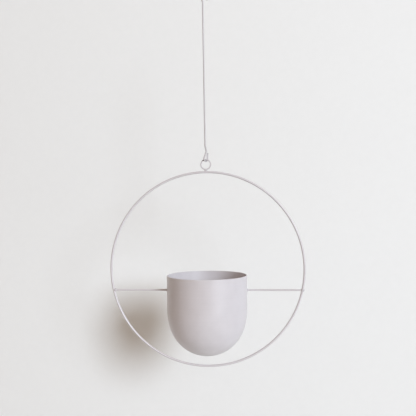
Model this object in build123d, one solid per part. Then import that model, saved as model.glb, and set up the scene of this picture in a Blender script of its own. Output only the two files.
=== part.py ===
from build123d import *
import math
import os

# A pot carried inside a wire hoop, hung from a long bent-wire hanger.
# Millimetres. The origin is the seat inside the upper hook, where the planter hangs.
# +Z is up, the hoop lies in the XZ plane, and the plumb line of the whole planter is the Z axis.

# Hanger: one wire, bent in one upright plane that is turned about the plumb line.
hanger_wire_d = 2.5
seat_to_seat = 260.0            # drop from the upper hook's seat to the lower one's
hanger_turn = 35.0              # degrees from the YZ plane, as the wire settles in the eyelet
upper_hook_d = 10.5             # clear width inside the upper hook
upper_tip_length = 4.8          # straight tip below the upper hook's bend
upper_leg_length = 4.5          # straight leg on the shank's side, before the joggle
upper_joggle = (3.0, 6.0)       # sideways and down, from the leg to the top of the shank
lower_hook_d = 5.5              # clear width inside the lower hook
pinch_height = 15.2             # from the lower bend's centreline up to the pinch
pinch_side = 1.8                # the pinch's offset from the plumb line, towards the tip
neck_rise = 9.0                 # the shank's foot above the pinch
shank_foot_side = -1.1          # the shank's foot, from the plumb line
tip_drop = 1.9                  # the lower tip ends this far below the pinch
pinch_gap = 1.2                 # clear gap left between the lower tip and the pinch
joggle_radius = 6.0
neck_radius = 9.0
pinch_radius = 2.6
wire_end_round = 0.5

# Eyelet: a wire ring that hangs in the lower hook, in the hoop's plane.
eyelet_wire_d = 2.0
eyelet_inner_d = 13.0
seat_clearance = 0.3            # running gap between the eyelet and the hook's seat
eyelet_neck = 1.5               # daylight between the eyelet and the hoop, filled by the weld

# Hoop and arms: round rod.
rod_d = 3.5                     # the hoop's rod
arm_rod_d = 3.0                 # the arms' thinner rod
hoop_mean_d = 300.0
arm_drop = 32.5                 # arms below the hoop's centre
rim_drop = 9.4                  # pot's rim below the hoop's centre

# Pot: spun sheet steel.
pot_d = 124.0
pot_wall = 1.2
straight_depth = 50.0           # plain cylindrical wall below the rim
shoulder_radius = 105.0
shoulder_sweep = 18.0           # degrees from the wall to where the round crown takes over
base_flat_d = 24.0              # outside diameter of the flat that the spinning pad leaves
rim_round = 0.55

# Weld metal.
bead_reach = 1.3                # how far a bead runs along the arm from the joint
bead_rise = 0.9                 # how far it stands proud of the arm at the joint
nugget = (3.1, 2.5, 2.7)        # half sizes of the weld round an arm's end on the hoop
left_nugget_inset = 2.2         # how far the left one sits inside the hoop's centreline
neck_waist_d = 2.8
neck_spread = (1.5, 0.7, 1)     # the round neck is drawn out along the hoop and flattened across it
neck_bite = 0.35                # how far the neck's ends reach past the gap, into the two wires

# Worked out from the sizes above.
hanger_r = hanger_wire_d / 2
eyelet_r = eyelet_wire_d / 2
rod_r = rod_d / 2
arm_r = arm_rod_d / 2
pot_r = pot_d / 2
hoop_mean_r = hoop_mean_d / 2
eyelet_mean_r = (eyelet_inner_d + eyelet_wire_d) / 2
pivot_z = -seat_to_seat + seat_clearance + eyelet_r
eyelet_z = pivot_z - eyelet_mean_r
neck_top_z = eyelet_z - eyelet_mean_r - eyelet_r
hoop_z = neck_top_z - eyelet_neck - rod_r - hoop_mean_r
arm_z = hoop_z - arm_drop
rim_z = hoop_z - rim_drop
arm_hoop_x = math.sqrt(hoop_mean_r**2 - arm_drop**2)


def tangent_point(outside, centre, radius, side):
    """Where a line from a point outside a circle touches it, on the side given by +1 or -1."""
    away = Vector(*outside) - Vector(*centre)
    bearing = math.atan2(away.Y, away.X) + side * math.acos(radius / away.length)
    return centre[0] + radius * math.cos(bearing), centre[1] + radius * math.sin(bearing)


def hanger():
    """Bent wire: an open upper hook, a joggle, the long shank, and a pinched lower hook."""
    upper_r = upper_hook_d / 2 + hanger_r
    upper_z = -upper_hook_d / 2
    lower_r = lower_hook_d / 2 + hanger_r
    lower_z = -seat_to_seat + lower_hook_d / 2
    lower_bend_z = lower_z - lower_r

    upper_tip = (upper_r, upper_z - upper_tip_length)
    leg_foot = (-upper_r, upper_z - upper_leg_length)
    shank_top = (leg_foot[0] + upper_joggle[0], leg_foot[1] - upper_joggle[1])
    pinch = (pinch_side, lower_bend_z + pinch_height)
    shank_foot = (shank_foot_side, pinch[1] + neck_rise)
    tip_side = pinch[0] + math.sqrt((hanger_wire_d + pinch_gap)**2 - tip_drop**2)
    lower_tip = (tip_side, pinch[1] - tip_drop)
    left_touch = tangent_point(pinch, (0, lower_z), lower_r, 1)
    right_touch = tangent_point(lower_tip, (0, lower_z), lower_r, -1)

    upper_bend = [
        Line(upper_tip, (upper_r, upper_z)),
        ThreePointArc((upper_r, upper_z), (0, upper_z + upper_r), (-upper_r, upper_z)),
    ]
    shank = FilletPolyline(
        (-upper_r, upper_z), leg_foot, shank_top, shank_foot, pinch, left_touch,
        radius=[joggle_radius, joggle_radius, neck_radius, pinch_radius],
    )
    lower_bend = [
        ThreePointArc(left_touch, (0, lower_bend_z), right_touch),
        Line(right_touch, lower_tip),
    ]
    flat_path = Wire(upper_bend[0].edges() + upper_bend[1].edges() + shank.edges()
                     + lower_bend[0].edges() + lower_bend[1].edges())
    bend_plane = Plane(origin=(0, 0, 0), x_dir=(math.sin(math.radians(hanger_turn)),
                                                math.cos(math.radians(hanger_turn)), 0),
                       z_dir=(math.cos(math.radians(hanger_turn)),
                              -math.sin(math.radians(hanger_turn)), 0))
    path = bend_plane.from_local_coords(flat_path)
    wire = sweep(Plane(origin=path @ 0, z_dir=path % 0) * Circle(hanger_r), path=path)
    cut_ends = [face.edges()[0] for face in wire.faces().filter_by(GeomType.PLANE)]
    return fillet(cut_ends, wire_end_round)


def ring(mean_r, wire_r, z):
    """A wire ring standing in the XZ plane, with its centre on the plumb line."""
    return Pos(0, 0, z) * Rot(90, 0, 0) * Torus(mean_r, wire_r)


def eyelet():
    return ring(eyelet_mean_r, eyelet_r, eyelet_z)


def hoop():
    return ring(hoop_mean_r, rod_r, hoop_z)


def pot_outline(inset):
    """Half section of the pot, moved inwards by the inset: wall, shoulder, crown and flat."""
    sweep_rad = math.radians(shoulder_sweep)
    wall_x = pot_r - inset
    wall_foot = (wall_x, rim_z - straight_depth)
    bend_r = shoulder_radius - inset
    crown_r = (pot_r - shoulder_radius * (1 - math.cos(sweep_rad))) / math.cos(sweep_rad) - inset
    shoulder_foot = (wall_x - bend_r * (1 - math.cos(sweep_rad)),
                     wall_foot[1] - bend_r * math.sin(sweep_rad))
    crown_z = shoulder_foot[1] + crown_r * math.sin(sweep_rad)
    flat_r = base_flat_d / 2 * crown_r / (crown_r + inset)
    flat_edge = (flat_r, crown_z - math.sqrt(crown_r**2 - flat_r**2))
    halfway = sweep_rad / 2
    shoulder_mid = (wall_x - bend_r * (1 - math.cos(halfway)),
                    wall_foot[1] - bend_r * math.sin(halfway))
    crown_bearing = (sweep_rad + math.acos(flat_r / crown_r)) / 2
    crown_mid = (crown_r * math.cos(crown_bearing), crown_z - crown_r * math.sin(crown_bearing))
    return [
        Line((0, rim_z), (wall_x, rim_z)),
        Line((wall_x, rim_z), wall_foot),
        ThreePointArc(wall_foot, shoulder_mid, shoulder_foot),
        ThreePointArc(shoulder_foot, crown_mid, flat_edge),
        Line(flat_edge, (0, flat_edge[1])),
        Line((0, flat_edge[1]), (0, rim_z)),
    ]


def pot_body(inset):
    """The solid of revolution inside an outline."""
    return revolve(Plane.XZ * make_face(pot_outline(inset)), Axis.Z)


def pot():
    """The sheet between the outer and inner outlines, with its cut edge rounded over."""
    shell = pot_body(0) - pot_body(pot_wall)
    rim_edges = shell.edges().group_by(Axis.Z)[-1]
    return fillet(rim_edges, rim_round)


def arm():
    """The right arm: a rod from the hoop's inner side to the pot, both ends cut to fit them."""
    mid_x = (pot_r + arm_hoop_x) / 2
    blank_length = arm_hoop_x - pot_r + rod_d
    blank = Pos(mid_x, 0, arm_z) * Rot(0, 90, 0) * Cylinder(arm_r, blank_length)
    slab_thickness = 2 * rod_d
    inside_hoop = Pos(0, 0, hoop_z) * Rot(90, 0, 0) * Cylinder(hoop_mean_r, slab_thickness)
    return (blank & inside_hoop) - hoop() - pot_body(0)


def pot_bead():
    """Collar of weld metal round the right arm where it meets the pot."""
    root_x = pot_r - bead_reach
    profile = Polyline((root_x, 0), (root_x, arm_r + bead_rise), (pot_r, arm_r + bead_rise),
                       (pot_r + bead_reach, arm_r), (pot_r + bead_reach, 0), close=True)
    collar = revolve(make_face(profile), Axis.X)
    return Pos(0, 0, arm_z) * collar - pot_body(0) - arm()


def hoop_nugget(inset):
    """Lump of weld metal round the right arm's end, moved in from the hoop by the inset."""
    lump = Pos(arm_hoop_x - inset, 0, arm_z) * scale(Sphere(1), by=nugget)
    return lump - hoop() - arm()


def left_of(shape):
    """The same piece on the left side."""
    return mirror(shape, about=Plane.YZ)


def arm_welds():
    """Two collars on the pot and two lumps on the hoop. The right lump wraps the hoop's outside."""
    return [pot_bead(), left_of(pot_bead()), hoop_nugget(0), left_of(hoop_nugget(left_nugget_inset))]


def eyelet_weld():
    """Hollow-flanked weld neck between the eyelet and the top of the hoop."""
    mid_z = neck_top_z - eyelet_neck / 2
    half_height = eyelet_neck / 2 + neck_bite
    waist_r = neck_waist_d / 2
    foot_r = waist_r + half_height
    profile = make_face([
        Line((0, -half_height), (foot_r, -half_height)),
        ThreePointArc((foot_r, -half_height), (waist_r, 0), (foot_r, half_height)),
        Line((foot_r, half_height), (0, half_height)),
        Line((0, half_height), (0, -half_height)),
    ])
    neck = Pos(0, 0, mid_z) * scale(revolve(Plane.XZ * profile, Axis.Z), by=neck_spread)
    return neck - hoop() - eyelet()


def write(name, shape):
    """One STEP file per piece."""
    if isinstance(shape, list):
        shape = Compound(children=[solid for item in shape for solid in item.solids()])
    shape.label = name
    export_step(shape, os.path.join("parts", name + ".step"))


os.makedirs("parts", exist_ok=True)
write("hanger", hanger())
write("eyelet", eyelet())
write("eyelet_weld", eyelet_weld())
write("hoop", hoop())
write("left_arm", left_of(arm()))
write("right_arm", arm())
write("arm_welds", arm_welds())
write("pot", pot())
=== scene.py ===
import math
import bmesh
import bpy
from mathutils import Matrix, Vector, noise


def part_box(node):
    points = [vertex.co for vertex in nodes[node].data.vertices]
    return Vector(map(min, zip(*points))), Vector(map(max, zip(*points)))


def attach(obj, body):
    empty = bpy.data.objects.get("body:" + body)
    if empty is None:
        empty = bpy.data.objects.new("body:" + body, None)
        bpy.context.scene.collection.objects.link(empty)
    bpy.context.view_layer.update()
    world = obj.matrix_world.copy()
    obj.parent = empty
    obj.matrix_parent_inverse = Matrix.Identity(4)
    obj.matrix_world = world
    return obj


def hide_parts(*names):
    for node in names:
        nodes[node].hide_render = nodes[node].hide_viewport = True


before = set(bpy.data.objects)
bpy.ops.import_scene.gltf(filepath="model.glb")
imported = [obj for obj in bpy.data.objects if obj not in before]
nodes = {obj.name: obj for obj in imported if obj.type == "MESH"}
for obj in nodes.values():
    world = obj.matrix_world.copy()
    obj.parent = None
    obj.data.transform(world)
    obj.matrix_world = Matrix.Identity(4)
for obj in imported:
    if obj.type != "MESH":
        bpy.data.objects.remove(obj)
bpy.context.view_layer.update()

# Metres. The origin is the seat inside the upper hook, +Z is up, and the hoop lies in the XZ plane.
MM = 0.001
scene = bpy.context.scene
scene.view_settings.view_transform = "Standard"


def middle(node):
    low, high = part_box(node)
    return (low + high) / 2


# Places and sizes read from the CAD pieces.
hoop_centre = middle("hoop")
hoop_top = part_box("hoop")[1].z
rod_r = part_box("hoop")[1].y
hoop_mean_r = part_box("hoop")[1].x - rod_r
arm_z = middle("right_arm").z
arm_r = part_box("right_arm")[1].y
arm_hoop_x = math.sqrt(hoop_mean_r**2 - (hoop_centre.z - arm_z)**2)
pot_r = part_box("pot")[1].x
eyelet_centre = middle("eyelet")
eyelet_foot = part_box("eyelet")[0].z
eyelet_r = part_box("eyelet")[1].y
eyelet_mean_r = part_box("eyelet")[1].x - eyelet_r


# Camera: level, a little to the right of square on, and about 10 cm above the pot's rim.
YAW = math.radians(4.4)
ROLL = math.radians(0.57)
DISTANCE = 879.5 * MM           # in front of the hoop's centre
SIDE = 2.7 * MM                 # to the right of it
RISE = 94.4 * MM                # above it
FOCAL_PX = 567.9
IMAGE_PX = 416
SENSOR = 36.0
CLIP_START = 0.05

right = Vector((math.cos(YAW), math.sin(YAW), 0))
ahead = Vector((-math.sin(YAW), math.cos(YAW), 0))
up = Vector((0, 0, 1))
camera_data = bpy.data.cameras.new("camera")
camera_data.sensor_width = SENSOR
camera_data.lens = FOCAL_PX / IMAGE_PX * SENSOR
camera_data.clip_start = CLIP_START
camera = bpy.data.objects.new("camera", camera_data)
scene.collection.objects.link(camera)
scene.camera = camera
place = hoop_centre + right * SIDE - ahead * DISTANCE + up * RISE
across = right * math.cos(ROLL) - up * math.sin(ROLL)
upward = right * math.sin(ROLL) + up * math.cos(ROLL)
camera.matrix_world = Matrix((
    (across.x, upward.x, -ahead.x, place.x),
    (across.y, upward.y, -ahead.y, place.y),
    (across.z, upward.z, -ahead.z, place.z),
    (0, 0, 0, 1),
))


def direction(bearing, rise):
    """Unit vector from the planter, by bearing to the right of the camera and rise above level."""
    level = right * math.sin(bearing) - ahead * math.cos(bearing)
    return level * math.cos(rise) + up * math.sin(rise)


# Node trees.
UNIT = (0.0, 1.0)
BROAD_NOISE = (0.3, 0.7)        # the middle of a noise's values, where nearly all of them lie
FINE_NOISE = (0.35, 0.65)
MATH = "ShaderNodeMath"
VECTOR_MATH = "ShaderNodeVectorMath"


def link(tree, source, target):
    tree.links.new(source, target)


def new_node(tree, kind, **values):
    node = tree.nodes.new(kind)
    for name, value in values.items():
        setattr(node, name, value)
    return node


def feed(tree, socket, value):
    """Link a socket to another node's output, or set it to a plain value."""
    if hasattr(value, "links"):
        link(tree, value, socket)
    else:
        socket.default_value = value


def principled(name):
    material = bpy.data.materials.new(name)
    material.use_nodes = True
    return material, material.node_tree, material.node_tree.nodes["Principled BSDF"]


def object_place(tree):
    return new_node(tree, "ShaderNodeTexCoord").outputs["Object"]


def maths(tree, kind, operation, *values):
    """The number that a Math or Vector Math node makes of its inputs."""
    node = new_node(tree, kind, operation=operation)
    for socket, value in zip(node.inputs, values):
        feed(tree, socket, value)
    return node.outputs["Value"]


def noise_value(tree, where, scale, detail, dimensions="3D"):
    """Soft noise over a place in space, or in 1D along a distance."""
    texture = new_node(tree, "ShaderNodeTexNoise", noise_dimensions=dimensions)
    texture.inputs["Scale"].default_value = scale
    texture.inputs["Detail"].default_value = detail
    link(tree, where, texture.inputs["W" if dimensions == "1D" else "Vector"])
    return texture.outputs["Fac"]


def remap(tree, value, taken, given, smooth=False):
    """Map one range of values onto another, and hold it at the ends."""
    node = new_node(tree, "ShaderNodeMapRange", clamp=True)
    if smooth:
        node.interpolation_type = "SMOOTHSTEP"
    link(tree, value, node.inputs["Value"])
    node.inputs["From Min"].default_value, node.inputs["From Max"].default_value = taken
    node.inputs["To Min"].default_value, node.inputs["To Max"].default_value = given
    return node.outputs["Result"]


def blend_colour(tree, factor, first, second):
    node = new_node(tree, "ShaderNodeMix", data_type="RGBA")
    link(tree, factor, node.inputs["Factor"])
    for socket, colour in ((node.inputs["A"], first), (node.inputs["B"], second)):
        feed(tree, socket, (*colour, 1.0) if isinstance(colour, tuple) else colour)
    return node.outputs["Result"]


def mix_shaders(tree, factor, first, second, output):
    choose = new_node(tree, "ShaderNodeMixShader")
    link(tree, factor, choose.inputs["Fac"])
    link(tree, first, choose.inputs[1])
    link(tree, second, choose.inputs[2])
    link(tree, choose.outputs["Shader"], output.inputs["Surface"])


# Stage: a pale wall behind the planter and a floor well below it. The wall is further back than the
# photograph's, so that the planter can swing to both of its limits in front of it.
WALL_GAP = 340 * MM
WALL_HALF_WIDTH = 2.5
WALL_TOP = 1.6
WALL_GRAIN = (90.0, 4.0)        # noise scale and detail
WALL_TONES = ((0.845, 0.845, 0.845), (0.855, 0.855, 0.855))
WALL_ROUGHNESS = 0.9
WALL_GLOSS = 0.1
FLOOR_Z = -1.6
FLOOR_REACH = 4.0
FLOOR_GRAIN = (3.0, 5.0)
FLOOR_TONES = ((0.78, 0.775, 0.765), (0.82, 0.815, 0.805))
FLOOR_ROUGHNESS = 0.8


def stage_paint(name, grain, tones, roughness):
    """Matt paint, faintly clouded between two tones."""
    material, tree, shader = principled(name)
    cloud = remap(tree, noise_value(tree, object_place(tree), *grain), BROAD_NOISE, UNIT)
    link(tree, blend_colour(tree, cloud, *tones), shader.inputs["Base Color"])
    shader.inputs["Roughness"].default_value = roughness
    return material, tree, shader


def wall_paint():
    """The wall is clear from behind, so that the planter can be looked at from the back too."""
    material, tree, shader = stage_paint("wall_paint", WALL_GRAIN, WALL_TONES, WALL_ROUGHNESS)
    shader.inputs["Specular IOR Level"].default_value = WALL_GLOSS
    from_behind = new_node(tree, "ShaderNodeNewGeometry").outputs["Backfacing"]
    clear = new_node(tree, "ShaderNodeBsdfTransparent").outputs["BSDF"]
    mix_shaders(tree, from_behind, shader.outputs["BSDF"], clear, tree.nodes["Material Output"])
    return material


def stage_sheet(name, corners, material):
    mesh = bpy.data.meshes.new(name)
    mesh.from_pydata(corners, [], [(0, 1, 2, 3)])
    mesh.materials.append(material)
    piece = bpy.data.objects.new(name, mesh)
    scene.collection.objects.link(piece)
    return piece


wall_corners = ((-WALL_HALF_WIDTH, WALL_GAP, FLOOR_Z), (WALL_HALF_WIDTH, WALL_GAP, FLOOR_Z),
                (WALL_HALF_WIDTH, WALL_GAP, WALL_TOP), (-WALL_HALF_WIDTH, WALL_GAP, WALL_TOP))
floor_corners = ((-FLOOR_REACH, -FLOOR_REACH, FLOOR_Z), (FLOOR_REACH, -FLOOR_REACH, FLOOR_Z),
                 (FLOOR_REACH, FLOOR_REACH, FLOOR_Z), (-FLOOR_REACH, FLOOR_REACH, FLOOR_Z))
wall = stage_sheet("stage_wall", wall_corners, wall_paint())
floor = stage_sheet("stage_floor", floor_corners,
                    stage_paint("floor_paint", FLOOR_GRAIN, FLOOR_TONES, FLOOR_ROUGHNESS)[0])


# Light: a large round key on the planter, and a light of its own for the wall and floor, placed and
# sized so that the planter's shadow is the photograph's, though the wall is further back.
LIGHT_COLOUR = (0.83, 0.92, 1.0)
KEY_BEARING = math.radians(33)
KEY_RISE = math.radians(16.5)
KEY_DISTANCE = 12.0
KEY_SIZE = (4.5, 4.5)
KEY_POWER = 1320.0
WASH_BEARING = math.radians(23.4)
WASH_RISE = math.radians(15.33)
WASH_DISTANCE = 6.5
WASH_SIZE = (1.5, 2.0)
WASH_POWER = 340.0
ROOM_COLOUR = (1.0, 0.733, 0.511)
ROOM_BEARING = math.radians(-30)
ROOM_RISE = math.radians(10)
ROOM_STRENGTH = (0.10, 0.46)    # on the key's side and on the other
BACKDROP_COLOUR = (0.80, 0.79, 0.775)


def soft_light(name, target, towards, distance, size, power):
    """A round or oval soft light turned to a target. Returns the set of pieces that it lights."""
    data = bpy.data.lights.new(name, "AREA")
    data.shape = "ELLIPSE"
    data.size, data.size_y = size
    data.energy = power
    data.color = LIGHT_COLOUR
    lamp = bpy.data.objects.new(name, data)
    scene.collection.objects.link(lamp)
    lamp.location = target + towards * distance
    lamp.rotation_euler = towards.to_track_quat("Z", "Y").to_euler()
    lamp.visible_camera = False
    lit = bpy.data.collections.new(name + "_lights")
    lamp.light_linking.receiver_collection = lit
    return lit


lit_by_key = soft_light("key", hoop_centre, direction(KEY_BEARING, KEY_RISE),
                        KEY_DISTANCE, KEY_SIZE, KEY_POWER)
lit_by_wash = soft_light("wall_wash", middle("pot"), direction(WASH_BEARING, WASH_RISE),
                         WASH_DISTANCE, WASH_SIZE, WASH_POWER)
for stage_piece in (wall, floor):
    lit_by_wash.objects.link(stage_piece)
for node in nodes.values():
    lit_by_key.objects.link(node)


def room_light():
    """Warm light from the room, strongest away from the key. The camera sees a plain pale tone."""
    world = bpy.data.worlds.new("room")
    world.use_nodes = True
    tree = world.node_tree
    glow = tree.nodes["Background"]
    glow.inputs["Color"].default_value = (*ROOM_COLOUR, 1.0)
    looking = new_node(tree, "ShaderNodeTexCoord").outputs["Generated"]
    facing = maths(tree, VECTOR_MATH, "DOT_PRODUCT", looking, direction(ROOM_BEARING, ROOM_RISE))
    link(tree, remap(tree, facing, UNIT, ROOM_STRENGTH), glow.inputs["Strength"])
    seen = new_node(tree, "ShaderNodeBackground")
    seen.inputs["Color"].default_value = (*BACKDROP_COLOUR, 1.0)
    from_camera = new_node(tree, "ShaderNodeLightPath").outputs["Is Camera Ray"]
    mix_shaders(tree, from_camera, glow.outputs["Background"], seen.outputs["Background"],
                tree.nodes["World Output"])
    return world


scene.world = room_light()


# Paint: one pale grey powder coat, a little darker on the hanger, the eyelet and the welds.
# Each noise is a scale and a detail.
PAINT = (0.650, 0.611, 0.633)
HANGER_TONE = 0.84
EYELET_TONE = 0.92
FRAME_TONE = 0.99
WELD_TONE = 0.90
ROUGHNESS = (0.33, 0.40)
GLOSS = 0.7
CLOUDS = (55.0, 4.0)
CLOUD_SHADES = (0.965, 1.015)
SPECKS = (1900.0, 1.0)
SPECK_SHARE = (0.0, 0.045)
SPECK_COLOUR = (0.30, 0.28, 0.29)
PEBBLES = (850.0, 2.0)
RELIEF = 0.05 * MM
RELIEF_STRENGTH = 0.35
SPUN_RINGS = (420.0, 2.0)
SPUN_RELIEF = 1.3
SPUN_SHARE = (0.0, 0.02)
SPUN_COLOUR = (0.25, 0.23, 0.24)
# Dull steel for the rubbed spots, made dark enough that it also serves as the painted shadow on the
# eyelet.
DULL_STEEL_AND_SHADE = (0.085, 0.08, 0.078)
SPOT_METALLIC = (0.0, 0.35)
RAGS = (1400.0, 3.0)
RAG_DEPTH = 0.9                 # these two in shares of a bare spot's reach
RAG_EDGE = (1.25, 1.55)


def spun_rings(tree, where):
    """Noise along the pot's profile that is the same all the way round, as a spinning tool leaves it."""
    split = new_node(tree, "ShaderNodeSeparateXYZ")
    link(tree, where, split.inputs["Vector"])
    flat = new_node(tree, "ShaderNodeCombineXYZ")
    link(tree, split.outputs["X"], flat.inputs["X"])
    link(tree, split.outputs["Y"], flat.inputs["Y"])
    radius = maths(tree, VECTOR_MATH, "LENGTH", flat.outputs["Vector"])
    along = maths(tree, MATH, "ADD", split.outputs["Z"], radius)
    return noise_value(tree, along, *SPUN_RINGS, dimensions="1D")


def worn_and_shaded_places(tree, where, worn_and_shaded_spots):
    """1 at each spot and 0 elsewhere, with ragged edges between: rubbed-through coat at the hanging
    points, and painted shade on the eyelet beside the hook.
    """
    worn_and_shaded = None
    for centre, reach in worn_and_shaded_spots:
        gap = maths(tree, VECTOR_MATH, "DISTANCE", where, centre)
        ragged = maths(tree, MATH, "MULTIPLY_ADD", noise_value(tree, where, *RAGS), reach * RAG_DEPTH, gap)
        edge = tuple(reach * share for share in RAG_EDGE)
        spot = remap(tree, ragged, edge, (1.0, 0.0), smooth=True)
        worn_and_shaded = spot if worn_and_shaded is None else maths(tree, MATH, "MAXIMUM", worn_and_shaded, spot)
    return worn_and_shaded


def powder_coat(name, tone=1.0, rings=False, worn_and_shaded_spots=()):
    """Satin powder coat, finely pebbled and faintly clouded. rings adds the marks of spinning under the
    paint. At each spot (centre, reach) the colour turns to a very dark dull steel: at the hanging points
    the coat has rubbed through, and on the eyelet beside the hook it is a painted shadow."""
    material, tree, shader = principled(name)
    where = object_place(tree)
    cloud = remap(tree, noise_value(tree, where, *CLOUDS), BROAD_NOISE, UNIT)
    shades = [tuple(channel * shade * tone for channel in PAINT) for shade in CLOUD_SHADES]
    colour = blend_colour(tree, cloud, *shades)
    speck = remap(tree, noise_value(tree, where, *SPECKS), FINE_NOISE, SPECK_SHARE)
    colour = blend_colour(tree, speck, colour, SPECK_COLOUR)
    relief = noise_value(tree, where, *PEBBLES)
    if rings:
        groove = spun_rings(tree, where)
        relief = maths(tree, MATH, "MULTIPLY_ADD", groove, SPUN_RELIEF, relief)
        colour = blend_colour(tree, remap(tree, groove, FINE_NOISE, SPUN_SHARE), colour, SPUN_COLOUR)
    if worn_and_shaded_spots:
        worn_and_shaded = worn_and_shaded_places(tree, where, worn_and_shaded_spots)
        colour = blend_colour(tree, worn_and_shaded, colour, DULL_STEEL_AND_SHADE)
        link(tree, remap(tree, worn_and_shaded, UNIT, SPOT_METALLIC), shader.inputs["Metallic"])
    link(tree, colour, shader.inputs["Base Color"])
    link(tree, remap(tree, cloud, UNIT, ROUGHNESS), shader.inputs["Roughness"])
    shader.inputs["Specular IOR Level"].default_value = GLOSS
    bump = new_node(tree, "ShaderNodeBump")
    bump.inputs["Strength"].default_value = RELIEF_STRENGTH
    bump.inputs["Distance"].default_value = RELIEF
    link(tree, relief, bump.inputs["Height"])
    link(tree, bump.outputs["Normal"], shader.inputs["Normal"])
    return material


def dress(node, material):
    slots = nodes[node].material_slots
    for slot in slots:
        slot.material = material
    if not slots:
        nodes[node].data.materials.append(material)


# Rubbed spots where the two pieces hang, and a painted shadow on the eyelet to the left of the hook, where
# the hook's leg shades the wire.
SEAT_RUB = 1.2 * MM
TOP_RUB = 3.0 * MM
EYELET_SHADE_REACH = 1.4 * MM
EYELET_SHADE_BEARING = math.radians(32)
hanger_top = (0.0, 0.0, 0.0)
hook_seat = (0.0, 0.0, eyelet_centre.z + eyelet_mean_r - eyelet_r)
# Painted shadow: a dark spot on the eyelet's wire, to the left of the hook's left leg, where the leg
# shades it.
eyelet_painted_shade = Vector((-math.sin(EYELET_SHADE_BEARING), 0, math.cos(EYELET_SHADE_BEARING))) * eyelet_mean_r

dress("hanger", powder_coat("hanger_paint", tone=HANGER_TONE,
                            worn_and_shaded_spots=[(hook_seat, SEAT_RUB), (hanger_top, TOP_RUB)]))
dress("eyelet", powder_coat("eyelet_paint", tone=EYELET_TONE,
                            worn_and_shaded_spots=[(hook_seat, SEAT_RUB), (eyelet_centre + eyelet_painted_shade, EYELET_SHADE_REACH)]))
frame_paint = powder_coat("frame_paint", tone=FRAME_TONE)
for name in ("hoop", "left_arm", "right_arm"):
    dress(name, frame_paint)
dress("pot", powder_coat("pot_paint", rings=True))
weld_paint = powder_coat("weld_paint", tone=WELD_TONE)


# Welds: the plain beads of the source with their ripples and lumps.
BEAD_REACH = 1.3 * MM           # the collar round an arm at the pot, along the arm
BEAD_RISE = 0.9 * MM            # out from the arm
BEAD_SINK = 0.8 * MM            # into the pot's wall
BEAD_TOE = 0.1 * MM             # how far its toe dips under the arm's surface
BEAD_RIPPLES = 15
BEAD_BOW = 1.1
BEAD_STEPS = 14
NUGGET = Vector((3.1, 2.5, 2.7)) * MM
LEFT_NUGGET_INSET = 2.2 * MM
NUGGET_RIPPLES = 9
NUGGET_BOW = 0.5
NUGGET_FAINT = 0.3
NUGGET_STEPS = 40
NECK_WAIST_R = 1.4 * MM
NECK_HALF_HEIGHT = 1.1 * MM
NECK_SPREAD = (1.5, 0.7)        # along the hoop and across it
NECK_SINK = 0.3 * MM
NECK_GRIP = 0.95                # how much of each wire's radius the neck's ends cover
NECK_RIPPLES = 8
NECK_BOW = 0.8
NECK_STEPS = 24
RIPPLE = 0.16 * MM
LUMP = 0.13 * MM
LUMP_SIZE = 1.5 * MM
FINE_LUMP = 0.35                # shares of a lump's height and size
FINE_LUMP_SIZE = 0.4
AROUND = 72


def lump_at(point):
    """How far the weld metal swells or sinks at a point."""
    coarse = LUMP * noise.noise(point / LUMP_SIZE)
    return coarse + FINE_LUMP * LUMP * noise.noise(point / (FINE_LUMP_SIZE * LUMP_SIZE))


def ripple_at(phase):
    """One rounded crest for each half turn of the phase, as a weld pool freezes."""
    return RIPPLE * (abs(math.sin(phase)) - 0.5)


def angles():
    return [2 * math.pi * step / AROUND for step in range(AROUND)]


def add_loft(mesh, rings):
    """Skin over rings of points, closed at both ends."""
    loops = [[mesh.verts.new(point) for point in ring] for ring in rings]
    for first, second in zip(loops, loops[1:]):
        for start in range(len(first)):
            end = (start + 1) % len(first)
            mesh.faces.new((first[start], first[end], second[end], second[start]))
    mesh.faces.new(loops[0][::-1])
    mesh.faces.new(loops[-1])


def add_collar(mesh, side):
    """Rounded fillet round an arm where it meets the pot, with a crest for each pulse of the torch."""
    rings = []
    for step in range(-1, BEAD_STEPS + 1):
        along = max(step, 0) / BEAD_STEPS
        x = pot_r - BEAD_SINK if step < 0 else pot_r + along * BEAD_REACH
        height = BEAD_RISE * math.sqrt(1 - along**2) - BEAD_TOE * along
        fade = 1 - along**4
        ring = []
        for angle in angles():
            outward = Vector((0, math.cos(angle), math.sin(angle)))
            foot = Vector((side * x, 0, arm_z)) + outward * (arm_r + height)
            crest = ripple_at(BEAD_RIPPLES * angle / 2 + BEAD_BOW * along**2) * fade
            ring.append(foot + outward * (crest + lump_at(foot) * fade))
        rings.append(ring)
    add_loft(mesh, rings)


def add_nugget(mesh, centre):
    """Lump of weld metal round an arm's end on the hoop, with faint crests along the arm."""
    rings = []
    for step in range(1, NUGGET_STEPS):
        polar = math.pi * step / NUGGET_STEPS
        ring = []
        for angle in angles():
            outward = Vector((math.cos(polar), math.sin(polar) * math.cos(angle),
                              math.sin(polar) * math.sin(angle)))
            skin = centre + outward * NUGGET
            phase = NUGGET_RIPPLES * polar + NUGGET_BOW * math.cos(angle)
            crest = NUGGET_FAINT * ripple_at(phase) * math.sin(polar)
            ring.append(skin + outward * (crest + lump_at(skin) - NUGGET_FAINT * RIPPLE))
        rings.append(ring)
    add_loft(mesh, rings)


def hollow(radius, offset):
    """How far a circle of a radius has fallen away at an offset from its top."""
    return radius - math.sqrt(max(radius**2 - offset**2, 0))


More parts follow.
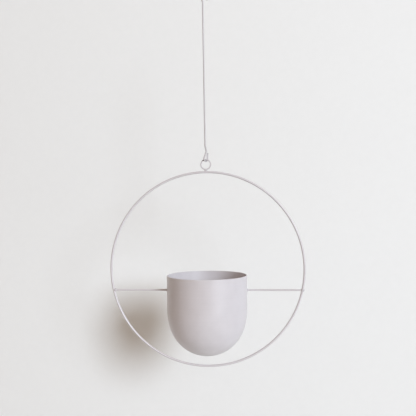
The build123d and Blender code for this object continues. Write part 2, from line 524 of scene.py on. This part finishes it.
def add_neck(mesh):
    """Hollow-flanked neck between the eyelet and the hoop, whose ends drape over the two wires."""
    middle_z = (eyelet_foot + hoop_top) / 2
    foot_r = NECK_WAIST_R + NECK_HALF_HEIGHT
    rings = []
    for step in range(NECK_STEPS + 1):
        share = 2 * step / NECK_STEPS - 1
        radius = foot_r - NECK_HALF_HEIGHT * math.sqrt(1 - share**2)
        free_y = NECK_SPREAD[1] * radius
        wire_y = NECK_GRIP * (rod_r if share < 0 else eyelet_r)
        fade = 1 - share**4
        ring = []
        for angle in angles():
            x = NECK_SPREAD[0] * radius * math.cos(angle)
            y = (free_y + (wire_y - free_y) * share**4) * math.sin(angle)
            if share < 0:
                drape = -hollow(rod_r, y) - NECK_SINK
            else:
                drape = hollow(eyelet_mean_r + eyelet_r, x) + hollow(eyelet_r, y) + NECK_SINK
            skin = Vector((x, y, middle_z + share * NECK_HALF_HEIGHT + abs(share)**3 * drape))
            outward = Vector((math.cos(angle), math.sin(angle), 0))
            crest = ripple_at(NECK_RIPPLES * angle / 2 + NECK_BOW * share) * fade
            ring.append(skin + outward * (crest + lump_at(skin) * fade))
        rings.append(ring)
    add_loft(mesh, rings)


def weld_piece(name, mesh, node):
    """A piece of weld metal that rides on the planter in place of a node."""
    bmesh.ops.recalc_face_normals(mesh, faces=mesh.faces)
    for face in mesh.faces:
        face.smooth = True
    data = bpy.data.meshes.new(name)
    mesh.to_mesh(data)
    mesh.free()
    data.materials.append(weld_paint)
    piece = bpy.data.objects.new(name, data)
    scene.collection.objects.link(piece)
    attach(piece, "planter")
    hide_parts(node)
    lit_by_key.objects.link(piece)


beads = bmesh.new()
add_collar(beads, 1)
add_collar(beads, -1)
add_nugget(beads, Vector((arm_hoop_x, 0, arm_z)))
add_nugget(beads, Vector((LEFT_NUGGET_INSET - arm_hoop_x, 0, arm_z)))
weld_piece("arm_weld_beads", beads, "arm_welds")
neck = bmesh.new()
add_neck(neck)
weld_piece("eyelet_weld_neck", neck, "eyelet_weld")
